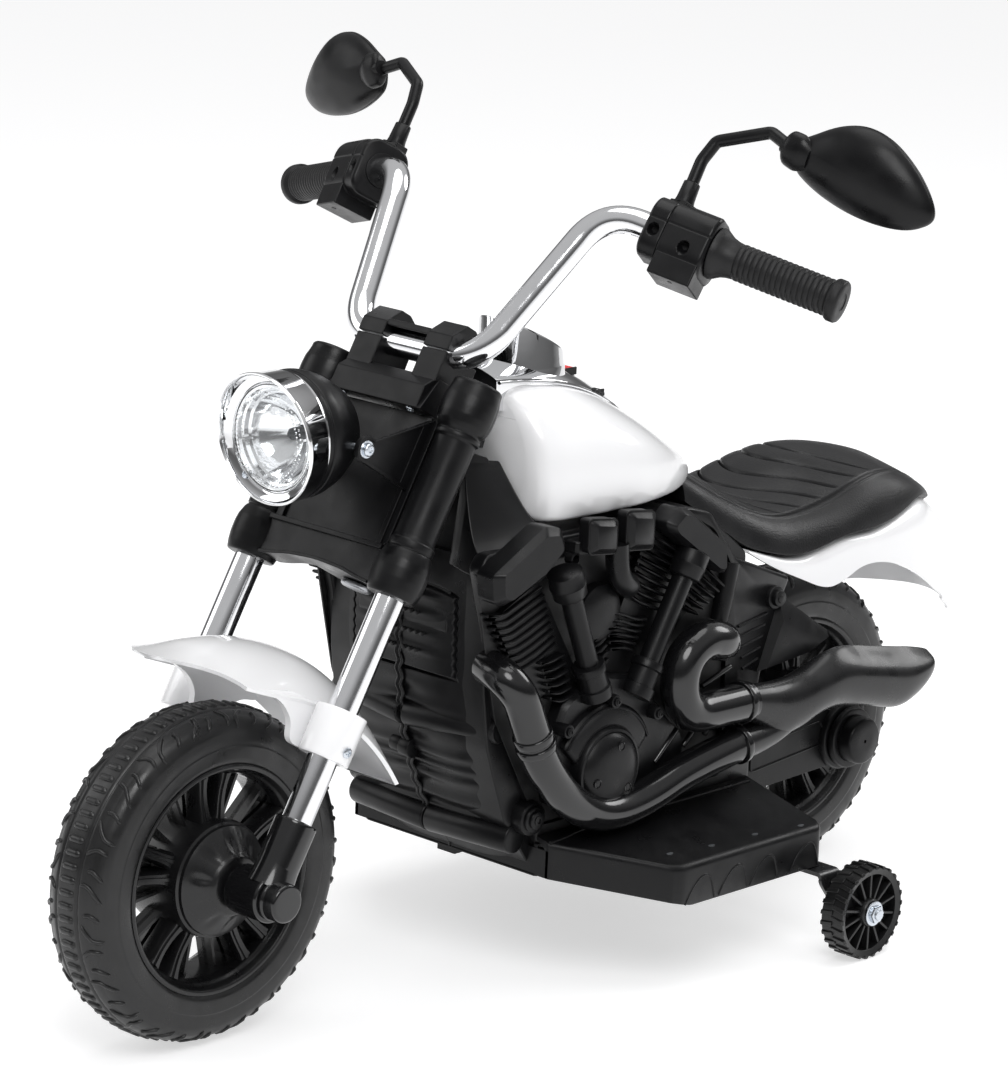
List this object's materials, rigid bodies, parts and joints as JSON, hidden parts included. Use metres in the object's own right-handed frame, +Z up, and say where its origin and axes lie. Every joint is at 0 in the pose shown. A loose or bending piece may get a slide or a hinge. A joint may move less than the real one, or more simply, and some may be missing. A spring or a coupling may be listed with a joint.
{
  "type": "ride-on motorcycle",
  "caption": "Battery ride-on chopper motorcycle for a small child, with a raked steering fork, high handlebar, mirrors, teardrop tank, long seat, footboards and training wheels.",
  "frame": {"origin": "on the floor, under the middle of the bounding box", "axes": "+Z up, +X to the rider's left, -Y forwards along the bike"},
  "size_m": [0.5548, 0.824, 0.5814],
  "materials": {
    "white_plastic": "glossy moulded white",
    "black_plastic": "satin moulded black",
    "gloss_black": "glossy moulded black",
    "tyre_black": "satin black moulded tread",
    "seat_black": "fine-grained black leatherette",
    "chrome": "mirror bright plated tube",
    "chromed_plastic": "mirror bright plated plastic",
    "steel": "plain",
    "zinc": "zinc plated",
    "clear_lens": "clear moulded plastic",
    "mirror_film": "reflective film",
    "red_plastic": "glossy red",
    "battery_case": "plain",
    "gear_white": "plain"
  },
  "bodies": {
    "chassis": {"body_left": "black_plastic", "body_right": "black_plastic", "tank_shell": "white_plastic", "dash_panel": "chromed_plastic", "seat": "seat_black", "rear_fender": "white_plastic", "engine_left": "black_plastic", "engine_right": "black_plastic", "exhaust_pipes_left": "gloss_black", "exhaust_pipes_right": "gloss_black", "muffler_left": "gloss_black", "muffler_right": "gloss_black", "base_tray": "black_plastic", "gearbox": "gear_white", "battery": "battery_case", "rear_axle": "steel", "training_wheel_bracket": "steel", "rear_axle_cap_left": "gloss_black", "rear_axle_cap_right": "gloss_black"},
    "steering": {"fork_tube_left": "chrome", "fork_tube_right": "chrome", "fork_end_left": "gloss_black", "fork_end_right": "gloss_black", "front_axle": "steel", "front_mudguard": "white_plastic", "fork_cover_front": "black_plastic", "fork_cover_rear": "black_plastic", "steering_column": "steel", "headlight_bucket": "black_plastic", "headlight_ring": "chromed_plastic", "headlight_reflector": "chromed_plastic", "headlight_lens": "clear_lens", "headlight_lamp": "black_plastic", "clamp_block": "black_plastic", "clamp_cap": "black_plastic", "handlebar": "chrome", "switch_housing_left": "black_plastic", "switch_housing_right": "black_plastic", "grip_left": "black_plastic", "grip_right": "black_plastic", "front_axle_cap_left": "gloss_black", "front_axle_cap_right": "gloss_black", "mudguard_screw_left": "zinc", "mudguard_screw_right": "zinc", "headlight_bolt": "zinc"},
    "front_wheel": {"front_tyre": "tyre_black", "front_rim": "black_plastic"},
    "rear_wheel": {"rear_tyre": "tyre_black", "rear_rim": "black_plastic"},
    "mirror_left": {"mirror_stem_left": "black_plastic", "mirror_shell_left": "black_plastic", "mirror_glass_left": "mirror_film"},
    "mirror_right": {"mirror_stem_right": "black_plastic", "mirror_shell_right": "black_plastic", "mirror_glass_right": "mirror_film"},
    "power_switch": {"power_switch": "red_plastic"},
    "direction_switch": {"direction_switch": "black_plastic"},
    "accelerator_pedal": {"accelerator_pedal": "black_plastic"},
    "training_wheel_left": {"training_wheel_left": "black_plastic"},
    "training_wheel_right": {"training_wheel_right": "black_plastic"}
  },
  "joints": [
    {"name": "steering", "type": "hinge", "parent": "chassis", "child": "steering", "pos_m": [0, -0.27266, 0.09156], "axis": [0, 0.5, 0.866], "range_deg": [-15, 15]},
    {"name": "front_wheel_spin", "type": "hinge", "parent": "steering", "child": "front_wheel", "pos_m": [0, -0.30297, 0.10906], "axis": [1, 0, 0], "continuous": true},
    {"name": "rear_wheel_spin", "type": "hinge", "parent": "chassis", "child": "rear_wheel", "pos_m": [0, 0.24973, 0.10906], "axis": [1, 0, 0], "continuous": true},
    {"name": "training_wheel_left_spin", "type": "hinge", "parent": "chassis", "child": "training_wheel_left", "pos_m": [0.175, 0.14503, 0.03256], "axis": [1, 0, 0], "continuous": true},
    {"name": "training_wheel_right_spin", "type": "hinge", "parent": "chassis", "child": "training_wheel_right", "pos_m": [-0.175, 0.14503, 0.03256], "axis": [1, 0, 0], "continuous": true},
    {"name": "mirror_left_swivel", "type": "hinge", "parent": "steering", "child": "mirror_left", "pos_m": [0.128, -0.01109, 0.53521], "axis": [0, 0.5, 0.866], "range_deg": [-40, 40]},
    {"name": "mirror_right_swivel", "type": "hinge", "parent": "steering", "child": "mirror_right", "pos_m": [-0.128, -0.01109, 0.53521], "axis": [0, 0.5, 0.866], "range_deg": [-40, 40]},
    {"name": "power_switch_rock", "type": "hinge", "parent": "chassis", "child": "power_switch", "pos_m": [0, 0.01203, 0.38656], "axis": [1, 0, 0], "range_deg": [-5, 5]},
    {"name": "direction_switch_rock", "type": "hinge", "parent": "chassis", "child": "direction_switch", "pos_m": [0, 0.04003, 0.36806], "axis": [1, 0, 0], "range_deg": [-5, 5]},
    {"name": "accelerator_pedal_press", "type": "hinge", "parent": "chassis", "child": "accelerator_pedal", "pos_m": [-0.1275, 0.04203, 0.09406], "axis": [1, 0, 0], "range_deg": [0, 6], "stiffness_Nm_per_rad": 0.5, "springref_deg": -5.73}
  ]
}
